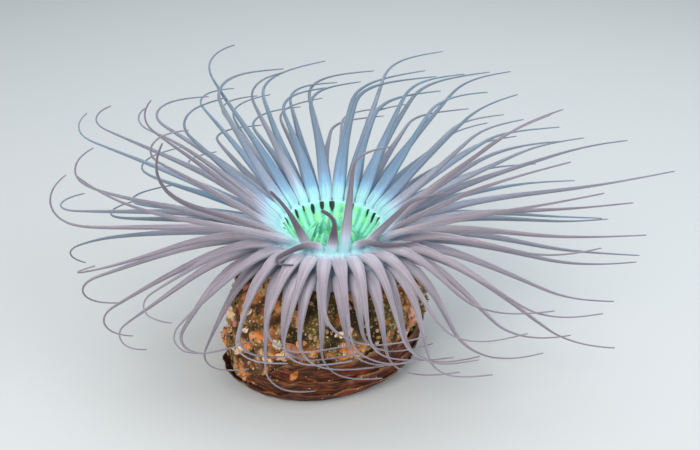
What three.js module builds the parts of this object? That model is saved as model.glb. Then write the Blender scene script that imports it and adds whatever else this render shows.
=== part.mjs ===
// Tube anemone, life size, with its crown open in a slow current.
// Millimetres, +Z up. The origin is on the floor, straight below the middle of the crown.
// The current runs mostly along +X. -Y is the front, where the tentacles hang over the tube.
import * as THREE from 'three';

// Driving dimensions.
const gap = 0.3; // between neighbouring pieces
const cut = 0.45; // between the cycles, whose faceted edges bow towards each other

// The felt tube that the animal lives in. It leans, so that its foot is left of the crown.
const tube = {
  height: 56,
  bulge: 52,
  tuck: 7, // how far the foot is drawn in
  tuckHeight: 10,
  shoulder: 0.70, // share of the height where the shoulder starts to round over
  mouth: 0.50, // radius at the mouth, as a share of the bulge
  lean: -9,
  boreMouth: 21,
  boreFoot: 18,
  boreFloor: 6,
};

// The body inside the tube, and the neck where it widens to carry the crown.
const column = { foot: 8, footRadius: 12, radius: 16.5, neckHeight: 57, neckRadius: 19, topRadius: 32 };

// The margin of the oral disc is a domed ring. Its section is an arc from the lip to the brim.
const margin = { lipRadius: 24.6, width: 18.4, height: 13.5, underside: 62.5 };

// The oral disc is a bowl inside the margin.
const disc = { radius: 24.2, underside: 60.5, floor: 63, lip: 77.5, floorRadius: 15, wall: 2.2 };
const lips = { radius: 5.2, thickness: 2 };
const labial = {
  count: 20, ring: 13, rootRadius: 1.15, tipRadius: 0.35, height: 10.5, bedWidth: 3.6, bedHeight: 1.4,
};

const perGroup = 4; // neighbouring tentacles on one length of the margin

// Tentacles grow in three cycles. Angles are in degrees, arc is the place on the margin's section.
// lift is the angle above level, fall is how hard a tentacle drops over the rim, and the
// ...Back and ...Front values are added towards the back and the front of the crown.
const cycles = [
  {
    name: 'outer', count: 40, arc: 62.8, arcFrom: 47.6, arcTo: 78, brim: true, seed: 71, spread: 6,
    length: 132, shortFront: 0.46, shortBack: 0.16,
    lift: 0, liftBack: 20, liftFront: 14, fall: 1.0, fallFront: 9.0,
  },
  {
    name: 'middle', count: 36, arc: 35, arcFrom: 22.4, arcTo: 47.6, brim: false, seed: 37, spread: 7,
    length: 136, shortFront: 0.44, shortBack: 0.18,
    lift: 17, liftBack: 17, liftFront: 16, fall: 0.8, fallFront: 6.0,
  },
  {
    name: 'inner', count: 28, arc: 11.2, arcFrom: 0, arcTo: 22.4, brim: false, seed: 11, spread: 9,
    length: 111, shortFront: 0.35, shortBack: 0.12,
    lift: 36, liftBack: 11, liftFront: 34, fall: 0.3, fallFront: 1.2,
  },
];

// The inner tentacles at the front each stand their own way. turn is the bearing round the crown,
// yaw turns a tentacle sideways from straight out, wind is how far the current bends it, and
// windFrom is the share of its length where the bend starts.
const frontArc = { from: 208, to: 334 };
const frontTentacles = [
  { turn: 213, lift: 36, yaw: -5, length: 98, fall: 0.6, wind: 3.0, windFrom: 0.4, rise: 0.8 },
  { turn: 229, lift: 28, yaw: -24, length: 112, fall: 0.4, wind: 1.2, windFrom: 0.4, rise: 0.6 },
  { turn: 246, lift: 67, yaw: -58, length: 34, fall: 0.2, wind: -0.8, windFrom: 0.4, rise: 0.4 },
  { turn: 258, lift: 50, yaw: -46, length: 34, fall: 4.0, wind: 16, windFrom: 0.6, rise: 0.4 },
  { turn: 270, lift: 84, yaw: 80, length: 23, fall: -0.2, wind: -3.0, windFrom: 0.45, rise: 0.2 },
  { turn: 282, lift: 85, yaw: 75, length: 62, fall: -0.3, wind: 12, windFrom: 0.62, rise: 0.2 },
  { turn: 294, lift: 52, yaw: 34, length: 32, fall: 4.0, wind: 7, windFrom: 0.25, rise: 1.2 },
  { turn: 305.5, lift: 51, yaw: 26, length: 51, fall: -0.1, wind: 9, windFrom: 0.56, rise: 0.3 },
  { turn: 317, lift: 30, yaw: 22, length: 108, fall: 0.6, wind: 1.5, windFrom: 0.4, rise: 0.3 },
  { turn: 329, lift: 40, yaw: 5, length: 98, fall: 0.3, wind: 2.5, windFrom: 0.4, rise: 0.3 },
];

const tentacle = { rootRadius: 2.85, tipRadius: 0.36, taperEnd: 0.82, stand: 2 };
const route = {
  steps: 40, sides: 5, rings: 6, firstRing: 2, bendWeight: 2.6, clearOfTube: 1.6, clearOfFloor: 3,
  dropReach: 0.34, // share of the length over which a tentacle drops
  gust: 0.14, // share of the length over which the current takes hold
  landing: 16, // height over the floor below which a tentacle levels off
  levelOff: 0.35,
};
const settling = { rounds: 24, clearance: 1.3, firstStep: 9, bell: 5, stiffTo: 0.16, freeFrom: 0.4 };
const current = new THREE.Vector3(1, 0.22, 0);
const up = new THREE.Vector3(0, 0, 1);

const colours = {
  tube: 0x6e4d33, column: 0xb9a7ad, disc: 0x79ee9d, lips: 0xa5e6b4, labial: 0x8df5b0,
  outer: 0xb2acbe, middle: 0xa3aebd, inner: 0x93a9b8,
};

const radians = (degrees) => degrees * Math.PI / 180;

// A repeatable scatter between 0 and 1.
function scatter(n) {
  const value = Math.sin(n * 12.9898) * 43758.5453;
  return value - Math.floor(value);
}

function smooth(from, to, x) {
  const t = Math.min(1, Math.max(0, (x - from) / (to - from)));
  return t * t * (3 - 2 * t);
}

// Outer radius of the tube at a height and a bearing from its own axis.
function tubeRadius(z, bearing) {
  const t = Math.max(0, z) / tube.height;
  const rounding = Math.max(0, (t - tube.shoulder) / (1 - tube.shoulder)) ** 2;
  const tuck = tube.tuck * Math.max(0, 1 - Math.max(0, z) / tube.tuckHeight) ** 1.5;
  const uneven = 1 + 0.025 * Math.sin(2 * bearing + 0.6) + 0.018 * Math.sin(3 * bearing + 1.9);
  return (tube.bulge * (1 - rounding * (1 - tube.mouth)) - tuck) * uneven;
}

function tubeCentre(z) {
  return tube.lean * (1 - Math.min(1, Math.max(0, z / tube.height)));
}

// Thickness of a tentacle, as a radius, at a share of its length.
function girth(s) {
  const taper = Math.max(0, 1 - s / tentacle.taperEnd) ** 0.95;
  return tentacle.tipRadius + (tentacle.rootRadius - tentacle.tipRadius) * taper;
}

// A point on the margin's section, at an angle from the lip, raised off it by stand.
function marginPoint(arc, stand = 0) {
  const angle = radians(arc);
  const normal = new THREE.Vector2(Math.sin(angle) / margin.width, Math.cos(angle) / margin.height);
  normal.normalize();
  const radius = margin.lipRadius + margin.width * Math.sin(angle) + normal.x * stand;
  const height = margin.underside + margin.height * Math.cos(angle) + normal.y * stand;
  return new THREE.Vector2(radius, height);
}

function around(bearing, radius, z) {
  return new THREE.Vector3(radius * Math.cos(bearing), radius * Math.sin(bearing), z);
}

// Keeps a point of a route off the tube and off the floor.
function keepClear(point, s) {
  if (point.z < tube.height) {
    const centre = tubeCentre(point.z);
    const x = point.x - centre;
    const need = tubeRadius(point.z, Math.atan2(point.y, x)) + girth(s) + route.clearOfTube;
    const push = Math.max(1, need / Math.hypot(x, point.y));
    point.x = centre + x * push;
    point.y *= push;
  }
  point.z = Math.max(point.z, girth(s) + route.clearOfFloor);
  return point;
}

// Walks a tentacle from its root: it drops over the rim, then the current carries its tip.
function walk(root) {
  const out = around(root.bearing, 1, 0);
  const side = around(root.bearing + Math.PI / 2, 1, 0);
  const level = out.clone().multiplyScalar(Math.cos(root.yaw)).addScaledVector(side, Math.sin(root.yaw));
  const direction = level.multiplyScalar(Math.cos(root.lift)).addScaledVector(up, Math.sin(root.lift));
  const start = marginPoint(root.arc, tentacle.stand);
  const points = [around(root.bearing, start.x, start.y)];
  for (let k = 0; k < route.steps; k += 1) {
    const s = (k + 0.5) / route.steps;
    const drop = root.fall * Math.exp(-((s / route.dropReach) ** 2));
    const carried = root.wind * smooth(root.windFrom, root.windFrom + route.gust, s);
    const rise = root.rise * smooth(0.4, 0.9, s);
    direction.addScaledVector(current, carried / route.steps);
    direction.addScaledVector(up, (rise - drop) / route.steps);
    direction.addScaledVector(side, root.sway * Math.sin(s * 6) / route.steps);
    direction.normalize();
    const last = points[k];
    const over = last.z - girth(s) - route.clearOfFloor;
    const nearFloor = 1 - Math.min(1, Math.max(0, over / route.landing));
    if (direction.z < 0) {
      direction.z *= 1 - route.levelOff * nearFloor;
      direction.normalize();
    }
    const next = last.clone().addScaledVector(direction, root.length / route.steps);
    keepClear(next, s);
    direction.subVectors(next, last).normalize();
    points.push(next);
  }
  return points;
}

// The way that one tentacle of a cycle leaves the rim.
function rootOf(cycle, index) {
  const n = cycle.seed + index;
  const chance = (k) => scatter(n * 1.7 + k * 31.1);
  const bearing = 2 * Math.PI * (index + 0.5) / cycle.count;
  const back = Math.max(0, Math.sin(bearing));
  const front = Math.max(0, -Math.sin(bearing));
  const right = Math.max(0, Math.cos(bearing));
  const left = Math.max(0, -Math.cos(bearing));
  const lift = cycle.lift + cycle.liftBack * back + cycle.liftFront * front;
  const shortened = (1 - cycle.shortFront * front ** 1.2) * (1 - cycle.shortBack * back ** 1.2);
  const sided = (1 - 0.08 * right ** 2) * (1 - 0.09 * left ** 2);
  return {
    bearing,
    arc: cycle.arc,
    lift: radians(lift + (chance(1) - 0.5) * 2 * cycle.spread),
    yaw: 0,
    length: cycle.length * (0.88 + 0.24 * chance(2)) * shortened * sided,
    fall: (cycle.fall * (1 - 0.6 * back) + cycle.fallFront * front ** 2) * (0.9 + 0.2 * chance(3)),
    wind: (3 + 5 * front + 9 * back + 9 * left ** 2) * (0.7 + 0.6 * chance(6)),
    windFrom: 0.56 - 0.2 * front ** 2 + 0.1 * left + 0.22 * (chance(10) - 0.5),
    rise: (chance(5) - 0.5) * 2 + front * 1.6 + left * 5 * (chance(7) - 0.4),
    sway: (chance(4) - 0.5) * 1.2,
  };
}

function frontRoot(entry, cycle) {
  return {
    ...entry,
    bearing: radians(entry.turn),
    arc: cycle.arc,
    lift: radians(entry.lift),
    yaw: radians(entry.yaw),
    sway: 0,
  };
}

// All roots of a cycle, in order round the crown.
function rootsOf(cycle) {
  const roots = [];
  const inFront = (root) => root.bearing > radians(frontArc.from) && root.bearing < radians(frontArc.to);
  for (let index = 0; index < cycle.count; index += 1) {
    roots.push(rootOf(cycle, index));
  }
  if (cycle.name !== 'inner') {
    return roots;
  }
  const kept = roots.filter((root) => !inFront(root));
  const placed = frontTentacles.map((entry) => frontRoot(entry, cycle));
  return [...kept, ...placed].sort((a, b) => a.bearing - b.bearing);
}

// The closest approach of two routes that breaks the clearance, if there is one.
function worstMeeting(first, second) {
  let worst = null;
  for (let i = settling.firstStep; i <= route.steps; i += 1) {
    for (let k = settling.firstStep; k <= route.steps; k += 1) {
      const need = girth(i / route.steps) + girth(k / route.steps) + settling.clearance;
      const distance = first[i].distanceTo(second[k]);
      if (distance < need && (!worst || need - distance > worst.lack)) {
        worst = { i, k, lack: need - distance, distance };
      }
    }
  }
  return worst;
}

// Moves tentacles that would touch gently apart. The roots stay where they are.
function settle(routes) {
  for (let round = 0; round < settling.rounds; round += 1) {
    const boxes = routes.map((points) => (
      new THREE.Box3().setFromPoints(points.slice(settling.firstStep)).expandByScalar(3)
    ));
    const pushes = [];
    routes.forEach((first, a) => {
      for (let b = a + 1; b < routes.length; b += 1) {
        const meeting = boxes[a].intersectsBox(boxes[b]) ? worstMeeting(first, routes[b]) : null;
        if (meeting) {
          const away = first[meeting.i].clone().sub(routes[b][meeting.k]);
          away.multiplyScalar(0.5 * meeting.lack / Math.max(0.05, meeting.distance));
          pushes.push({ points: first, at: meeting.i, away });
          pushes.push({ points: routes[b], at: meeting.k, away: away.clone().negate() });
        }
      }
    });
    pushes.forEach((push) => {
      push.points.forEach((point, k) => {
        const spreadOut = Math.exp(-(((k - push.at) / settling.bell) ** 2));
        const free = smooth(settling.stiffTo, settling.freeFrom, k / route.steps);
        point.addScaledVector(push.away, spreadOut * free);
      });
    });
    routes.forEach((points) => {
      for (let k = settling.firstStep; k <= route.steps; k += 1) {
        keepClear(points[k], k / route.steps);
      }
    });
  }
}

// Picks where the faceted tentacle has its rings: closer together where the route bends.
function ringSteps(points) {
  const reach = [0];
  for (let k = 1; k <= route.steps; k += 1) {
    const before = points[k].clone().sub(points[k - 1]);
    const after = points[Math.min(route.steps, k + 1)].clone().sub(points[k]);
    const bend = after.lengthSq() > 0 ? before.angleTo(after) : 0;
    reach.push(reach[k - 1] + 1 / route.steps + route.bendWeight * bend / Math.PI);
  }
  const first = reach[route.firstRing];
  const picked = [route.firstRing];
  for (let ring = 1; ring < route.rings; ring += 1) {
    const goal = first + (reach[route.steps] - first) * ring / (route.rings - 1);
    const step = reach.findIndex((value) => value >= goal - 1e-9);
    picked.push(Math.max(step, picked[ring - 1] + 1));
  }
  return picked;
}

// One ring of a swept piece, square to along, with across as its first axis.
function ringAt(centre, along, across, radius, sides) {
  const inward = new THREE.Vector3().crossVectors(along, across);
  const ring = [];
  for (let side = 0; side < sides; side += 1) {
    const angle = 2 * Math.PI * side / sides - Math.PI / 2;
    const point = centre.clone().addScaledVector(across, radius * Math.cos(angle));
    ring.push(point.addScaledVector(inward, radius * Math.sin(angle)));
  }
  return ring;
}

// Rings along a run of centres. The first ring lies square to the normal that it grows from.
function sweepRings(centres, radii, sides, normal, tangent) {
  const across = tangent.clone();
  return centres.map((centre, k) => {
    const before = centres[Math.max(0, k - 1)];
    const after = centres[Math.min(centres.length - 1, k + 1)];
    const along = k === 0 ? normal : after.clone().sub(before).normalize();
    across.addScaledVector(along, -across.dot(along)).normalize();
    return ringAt(centre, along, across, radii[k], sides);
  });
}

function toGeometry(points, faces) {
  const geometry = new THREE.BufferGeometry();
  const positions = points.flatMap((point) => [point.x, point.y, point.z]);
  geometry.setAttribute('position', new THREE.Float32BufferAttribute(positions, 3));
  geometry.setIndex(faces);
  return geometry;
}

// Faces between two rings that follow each other in a list of points.
function bandFaces(first, second, sides) {
  const faces = [];
  for (let side = 0; side < sides; side += 1) {
    const next = (side + 1) % sides;
    faces.push(first + side, first + next, second + next, first + side, second + next, second + side);
  }
  return faces;
}

function capFaces(first, sides, facesBack) {
  const faces = [];
  for (let side = 1; side < sides - 1; side += 1) {
    const pair = facesBack ? [side + 1, side] : [side, side + 1];
    faces.push(first, first + pair[0], first + pair[1]);
  }
  return faces;
}

// A closed solid through rings of points, each ring with the same number of sides.
function loft(rings) {
  const sides = rings[0].length;
  const faces = capFaces(0, sides, true);
  for (let ring = 0; ring < rings.length - 1; ring += 1) {
    faces.push(...bandFaces(ring * sides, (ring + 1) * sides, sides));
  }
  faces.push(...capFaces((rings.length - 1) * sides, sides, false));
  return toGeometry(rings.flat(), faces);
}

// Fills the space between a face's four corners and the root ring of what grows out of it.
function collarFaces(points, corners, root) {
  const centre = new THREE.Vector3();
  root.forEach((index) => centre.addScaledVector(points[index], 1 / root.length));
  const u = points[corners[1]].clone().sub(points[corners[0]]).normalize();
  const v = points[corners[3]].clone().sub(points[corners[0]]);
  v.addScaledVector(u, -v.dot(u)).normalize();
  const angleOf = (index) => {
    const from = points[index].clone().sub(centre);
    return (Math.atan2(from.dot(v), from.dot(u)) + 2 * Math.PI) % (2 * Math.PI);
  };
  const marks = [
    ...corners.map((index, k) => ({ angle: angleOf(index), k, corner: true })),
    ...root.map((index, k) => ({ angle: angleOf(index), k, corner: false })),
  ].sort((a, b) => a.angle - b.angle);
  let corner = marks.findLast((mark) => mark.corner).k;
  let inner = marks.findLast((mark) => !mark.corner).k;
  const faces = [];
  marks.forEach((mark) => {
    if (mark.corner) {
      faces.push(corners[corner], corners[mark.k], root[inner]);
      corner = mark.k;
    } else {
      faces.push(corners[corner], root[mark.k], root[inner]);
      inner = mark.k;
    }
  });
  return faces;
}

// A length of a ring with one sprout growing from the top of each of its cells.
// section is top inner, top outer, bottom outer, bottom inner; edges are the cells' bearings.
function sproutedBed(section, edges, sprouts) {
  const points = edges.flatMap((bearing) => section.map((corner) => around(bearing, corner.x, corner.y)));
  const [topInner, topOuter, bottomOuter, bottomInner] = [0, 1, 2, 3];
  const faces = [topInner, bottomInner, bottomOuter, topInner, bottomOuter, topOuter];
  const last = 4 * (edges.length - 1);
  faces.push(last, last + topOuter, last + bottomOuter, last, last + bottomOuter, last + bottomInner);
  sprouts.forEach((rings, cell) => {
    const from = 4 * cell;
    const to = from + 4;
    [[topOuter, bottomOuter], [bottomOuter, bottomInner], [bottomInner, topInner]].forEach(([a, b]) => {
      faces.push(from + a, from + b, to + b, from + a, to + b, to + a);
    });
    const sides = rings[0].length;
    const start = points.length;
    points.push(...rings.flat());
    const corners = [from + topOuter, to + topOuter, to + topInner, from + topInner];
    const root = rings[0].map((point, k) => start + k);
    faces.push(...collarFaces(points, corners, root));
    for (let ring = 0; ring < rings.length - 1; ring += 1) {
      faces.push(...bandFaces(start + ring * sides, start + (ring + 1) * sides, sides));
    }
    faces.push(...capFaces(start + (rings.length - 1) * sides, sides, false));
  });
  return toGeometry(points, faces);
}

function tentacleRings(root, points) {
  const foot = marginPoint(root.arc);
  const steps = ringSteps(points);
  const centres = [around(root.bearing, foot.x, foot.y), ...steps.map((step) => points[step])];
  const radii = [tentacle.rootRadius, ...steps.map((step) => girth(step / route.steps))];
  const normal2 = marginPoint(root.arc, 1).sub(foot);
  const normal = around(root.bearing, normal2.x, normal2.y);
  return sweepRings(centres, radii, route.sides, normal, around(root.bearing + Math.PI / 2, 1, 0));
}

function addMesh(group, name, geometry, colour, roughness) {
  const material = new THREE.MeshStandardMaterial({ color: colour, roughness, metalness: 0 });
  const mesh = new THREE.Mesh(geometry, material);
  mesh.name = name;
  group.add(mesh);
}

// A ring of points at one height, for the tube.
function levelRing(z, radiusAt, sides) {
  const ring = [];
  for (let side = 0; side < sides; side += 1) {
    const bearing = 2 * Math.PI * side / sides;
    const radius = radiusAt(bearing);
    ring.push(new THREE.Vector3(tubeCentre(z) + radius * Math.cos(bearing), radius * Math.sin(bearing), z));
  }
  return ring;
}

// The felt tube: an uneven mound with a flat foot and a bore that is open at the top.
function tubeGeometry() {
  const sides = 24;
  const heights = [0, 3.5, 10, 26, 38, 45, 50, tube.height];
  const outside = heights.map((z) => levelRing(z, (bearing) => tubeRadius(z, bearing), sides));
  const boreAt = (z) => THREE.MathUtils.lerp(tube.boreFoot, tube.boreMouth, z / tube.height);
  const bore = [tube.height, tube.boreFloor].map((z) => levelRing(z, () => boreAt(z), sides));
  return loft([...outside, ...bore]);
}

function latheGeometry(profile, sides) {
  const outline = profile.map(([r, z]) => new THREE.Vector2(r, z));
  return new THREE.LatheGeometry(outline, sides).rotateX(Math.PI / 2);
}

// The column leans with the tube, and widens at the neck to the underside of the crown.
function columnGeometry() {
  const sides = 16;
  const levels = [
    [tube.boreFloor + gap, column.footRadius * 0.5],
    [column.foot, column.footRadius],
    [column.foot + 5, column.radius],
    [column.neckHeight - 5, column.radius + 1],
    [column.neckHeight, column.neckRadius],
    [disc.underside - gap, disc.radius - gap],
  ];
  return loft(levels.map(([z, radius]) => levelRing(z, () => radius, sides)));
}

// The neck is a collar round the disc's floor, under the margin.
function neckGeometry() {
  const inner = disc.radius + cut;
  const top = margin.underside - gap;
  const profile = [[inner, disc.underside - 1], [column.topRadius, top], [inner, top]];
  profile.push(profile[0]);
  return latheGeometry(profile, 20);
}

// The oral disc: a bowl with a flat floor and a rounded lip.
function discGeometry() {
  const profile = [
    [0, disc.underside],
    [disc.radius, disc.underside],
    [disc.radius, disc.lip],
    [disc.radius - disc.wall, disc.lip - 1.2],
    [disc.radius - disc.wall - 2, disc.floor + 7],
    [disc.floorRadius, disc.floor],
    [0, disc.floor],
  ];
  return latheGeometry(profile, 20);
}

// The lips: a low ring round the mouth.
function lipsGeometry() {
  const ring = new THREE.TorusGeometry(lips.radius, lips.thickness, 5, 10);
  ring.translate(0, 0, disc.floor + gap + lips.thickness);
  return ring;
}

// A quarter of the labial ring: a low bed with fingers that lean in towards the mouth.
function labialGeometry(quarter, quarters) {
  const perQuarter = labial.count / quarters;
  const turn = 2 * Math.PI / labial.count;
  const half = labial.bedWidth / 2;
  const foot = disc.floor + gap;
  const top = foot + labial.bedHeight;
  const [near, far] = [labial.ring - half, labial.ring + half];
  const section = [[near + 0.3, top], [far - 0.3, top], [far, foot], [near, foot]];
  const slack = gap / labial.ring / 2;
  const edges = [];
  const sprouts = [];
  for (let k = 0; k <= perQuarter; k += 1) {
    const end = { 0: slack, [perQuarter]: -slack }[k] ?? 0;
    edges.push((quarter * perQuarter + k) * turn + end);
  }
  for (let k = 0; k < perQuarter; k += 1) {
    const index = quarter * perQuarter + k;
    const bearing = (index + 0.5) * turn;
    const height = labial.height * (0.8 + 0.4 * scatter(index + 5));
    const inward = 3 + 3 * scatter(index + 47);
    const rises = [0, 0.5, 1];
    const centres = rises.map((t) => around(bearing, labial.ring - inward * t * t, top + height * t));
    const radii = rises.map((t) => THREE.MathUtils.lerp(labial.rootRadius, labial.tipRadius, t ** 1.5));
    sprouts.push(sweepRings(centres, radii, 4, up.clone(), around(bearing + Math.PI / 2, 1, 0)));
  }
  return sproutedBed(section.map(([r, z]) => new THREE.Vector2(r, z)), edges, sprouts);
}

// The margin's section under one cycle, cut clear of its neighbours.
function marginSection(cycle) {
  const corner = (arc, shift) => marginPoint(arc).add(new THREE.Vector2(shift, 0));
  const topInner = corner(cycle.arcFrom, cut / 2);
  const topOuter = corner(cycle.arcTo, cycle.brim ? 0 : -cut / 2);
  const outerFoot = cycle.brim ? marginPoint(90).x : topOuter.x;
  const bottomOuter = new THREE.Vector2(outerFoot, margin.underside);
  return [topInner, topOuter, bottomOuter, new THREE.Vector2(topInner.x, margin.underside)];
}

// The bearings of the cells' edges, half way between neighbouring tentacles.
function cellEdges(roots, start, count, slack) {
  const full = 2 * Math.PI;
  const edges = [];
  for (let k = 0; k <= count; k += 1) {
    const index = start + k;
    const before = roots[(index + roots.length - 1) % roots.length].bearing - (index === 0 ? full : 0);
    const after = roots[index % roots.length].bearing + (index === roots.length ? full : 0);
    const end = { 0: slack, [count]: -slack }[k] ?? 0;
    edges.push((before + after) / 2 + end);
  }
  return edges;
}

// Tentacles in groups of neighbours, each group on its own length of the margin.
function addCycle(group, cycle, roots, routes) {
  const section = marginSection(cycle);
  const slack = gap / 2 / section[0].x;
  for (let start = 0; start < roots.length; start += perGroup) {
    const edges = cellEdges(roots, start, perGroup, slack);
    const members = roots.slice(start, start + perGroup);
    const sprouts = members.map((root, k) => tentacleRings(root, routes[start + k]));
    const name = `tentacles_${cycle.name}_${String(start / perGroup + 1).padStart(2, '0')}`;
    addMesh(group, name, sproutedBed(section, edges, sprouts), colours[cycle.name], 0.45);
  }
}

function buildAnemone() {
  const anemone = new THREE.Group();
  anemone.name = 'tube_anemone';
  addMesh(anemone, 'tube', tubeGeometry(), colours.tube, 0.9);
  addMesh(anemone, 'column', columnGeometry(), colours.column, 0.5);
  addMesh(anemone, 'neck', neckGeometry(), colours.column, 0.5);
  addMesh(anemone, 'oral_disc', discGeometry(), colours.disc, 0.4);
  addMesh(anemone, 'lips', lipsGeometry(), colours.lips, 0.4);
  const quarters = 4;
  for (let quarter = 0; quarter < quarters; quarter += 1) {
    const name = `labial_tentacles_${quarter + 1}`;
    addMesh(anemone, name, labialGeometry(quarter, quarters), colours.labial, 0.4);
  }
  const roots = cycles.map(rootsOf);
  const routes = roots.map((list) => list.map(walk));
  settle(routes.flat());
  cycles.forEach((cycle, k) => addCycle(anemone, cycle, roots[k], routes[k]));
  return anemone;
}

export default buildAnemone();
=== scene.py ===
import math
import random

import bmesh
import bpy
import numpy as np
from mathutils import Matrix, Vector, noise


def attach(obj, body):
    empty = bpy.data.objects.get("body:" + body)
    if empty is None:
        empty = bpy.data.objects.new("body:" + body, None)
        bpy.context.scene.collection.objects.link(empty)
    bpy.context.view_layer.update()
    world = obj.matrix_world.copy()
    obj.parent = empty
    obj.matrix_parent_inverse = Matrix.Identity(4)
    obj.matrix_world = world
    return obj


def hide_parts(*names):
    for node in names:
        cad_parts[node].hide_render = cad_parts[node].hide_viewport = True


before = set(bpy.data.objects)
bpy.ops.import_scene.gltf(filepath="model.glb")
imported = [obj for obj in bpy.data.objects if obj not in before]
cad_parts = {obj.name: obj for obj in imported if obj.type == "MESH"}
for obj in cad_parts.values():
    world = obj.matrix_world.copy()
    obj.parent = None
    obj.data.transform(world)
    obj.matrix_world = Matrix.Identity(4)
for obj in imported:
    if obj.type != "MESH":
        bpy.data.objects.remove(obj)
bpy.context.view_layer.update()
print("frame loaded:", len(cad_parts), "nodes")

# Sizes are in millimetres, and become metres when a mesh is finished.
toMetres = 0.001

# The camera, the light and the floor. The floor and the lights are given in metres.
studio = {
    "distance": 450, "elevation": 28, "aimHeight": 72,
    "focal": 900, "width": 700, "height": 450,  # in pixels
    "aimX": 332, "aimY": 231,
    "floorSize": 6.0, "floorColour": (0.46, 0.47, 0.47, 1),
    "skyColour": (0.86, 0.93, 1.0, 1), "skyStrength": 0.5,
}
lights = {
    "key": {
        "place": (-0.35, -0.75, 0.75), "aimHeight": 0.06, "size": 0.55, "power": 11,
        "colour": (1.0, 0.97, 0.93),
    },
    "fill": {
        "place": (0.9, -0.35, 0.6), "aimHeight": 0.05, "size": 0.8, "power": 7,
        "colour": (0.93, 0.97, 1.0),
    },
    "top": {
        "place": (0.1, 0.5, 1.1), "aimHeight": 0.06, "size": 1.0, "power": 9,
        "colour": (0.88, 0.96, 1.0),
    },
}


def addCamera():
    data = bpy.data.cameras.new("camera")
    data.sensor_width = 36
    data.lens = studio["focal"] / studio["width"] * data.sensor_width
    data.shift_x = (studio["width"] / 2 - studio["aimX"]) / studio["width"]
    data.shift_y = (studio["aimY"] - studio["height"] / 2) / studio["width"]
    data.clip_start = 0.01
    data.clip_end = 20
    camera = bpy.data.objects.new("camera", data)
    tilt = math.radians(studio["elevation"])
    back = studio["distance"] * math.cos(tilt) * toMetres
    rise = (studio["aimHeight"] + studio["distance"] * math.sin(tilt)) * toMetres
    camera.location = (0, -back, rise)
    camera.rotation_euler = (math.pi / 2 - tilt, 0, 0)
    bpy.context.scene.collection.objects.link(camera)
    bpy.context.scene.camera = camera


def addLight(name, settings):
    data = bpy.data.lights.new(name, "AREA")
    data.shape = "DISK"
    data.size = settings["size"]
    data.energy = settings["power"]
    data.color = settings["colour"]
    light = bpy.data.objects.new(name, data)
    light.location = settings["place"]
    toward = Vector((0, 0, settings["aimHeight"])) - light.location
    light.rotation_euler = toward.to_track_quat("-Z", "Y").to_euler()
    bpy.context.scene.collection.objects.link(light)


def addFloor():
    bm = bmesh.new()
    bmesh.ops.create_grid(bm, x_segments=2, y_segments=2, size=studio["floorSize"] / 2)
    mesh = bpy.data.meshes.new("floor")
    bm.to_mesh(mesh)
    bm.free()
    floor = bpy.data.objects.new("floor", mesh)
    bpy.context.scene.collection.objects.link(floor)
    material = bpy.data.materials.new("pale_floor")
    material.use_nodes = True
    shader = material.node_tree.nodes["Principled BSDF"]
    shader.inputs["Base Color"].default_value = studio["floorColour"]
    shader.inputs["Roughness"].default_value = 0.9
    mesh.materials.append(material)


def addWorld():
    world = bpy.data.worlds.new("studio")
    world.use_nodes = True
    background = world.node_tree.nodes["Background"]
    background.inputs["Color"].default_value = studio["skyColour"]
    background.inputs["Strength"].default_value = studio["skyStrength"]
    bpy.context.scene.world = world


addCamera()
addWorld()
addFloor()
for name, settings in lights.items():
    addLight(name, settings)
bpy.context.scene.view_settings.view_transform = "Standard"
print("camera, light and floor ready")

# How the tentacles grow: the same sizes and functions as the solids'.
tube = {
    "height": 56, "bulge": 52, "tuck": 7, "tuckHeight": 10, "shoulder": 0.70, "mouth": 0.50,
    "lean": -9, "boreMouth": 21, "boreFoot": 18, "boreFloor": 6,
}
margin = {"lipRadius": 24.6, "width": 18.4, "height": 13.5, "underside": 62.5}
cycles = [
    {
        "name": "outer", "count": 40, "arc": 62.8, "arcFrom": 47.6, "arcTo": 78, "seed": 71,
        "spread": 6, "length": 132, "lift": 0, "liftBack": 20, "liftFront": 14,
        "fall": 1.0, "fallFront": 9.0, "shortFront": 0.46, "shortBack": 0.16,
    },
    {
        "name": "middle", "count": 36, "arc": 35, "arcFrom": 22.4, "arcTo": 47.6, "seed": 37,
        "spread": 7, "length": 136, "lift": 17, "liftBack": 17, "liftFront": 16,
        "fall": 0.8, "fallFront": 6.0, "shortFront": 0.44, "shortBack": 0.18,
    },
    {
        "name": "inner", "count": 28, "arc": 11.2, "arcFrom": 0, "arcTo": 22.4, "seed": 11,
        "spread": 9, "length": 111, "lift": 36, "liftBack": 11, "liftFront": 34,
        "fall": 0.3, "fallFront": 1.2, "shortFront": 0.35, "shortBack": 0.12,
    },
]
frontArc = {"from": 208, "to": 334}
# tentacles set one by one are slimmer, and the dark ones keep their width further out
frontShape = {"slim": 0.8, "darkFrom": 0.4, "darkHanging": -0.25}
# turn, lift, yaw, length, fall, wind, where the wind takes hold, rise, darkness, tip thickness
frontTentacles = [
    (213, 36, -5, 98, 0.6, 3.0, 0.4, 0.8, 0.5, 0),
    (229, 28, -24, 112, 0.4, 1.2, 0.4, 0.6, 0.1, 0),
    (246, 67, -58, 34, 0.2, -0.8, 0.4, 0.4, 0.9, 0.85),
    (258, 50, -46, 34, 4.0, 16, 0.6, 0.4, 1.0, 0),
    (270, 84, 80, 23, -0.2, -3.0, 0.45, 0.2, 1.0, 1.0),
    (282, 85, 75, 62, -0.3, 12, 0.62, 0.2, 0.45, 0),
    (294, 52, 34, 32, 4.0, 7, 0.25, 1.2, 0.9, 0),
    (305.5, 51, 26, 51, -0.1, 9, 0.56, 0.3, 0.5, 0),
    (317, 30, 22, 108, 0.6, 1.5, 0.4, 0.3, 0.2, 0),
    (329, 40, 5, 98, 0.3, 2.5, 0.4, 0.3, 0.1, 0),
]
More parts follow.
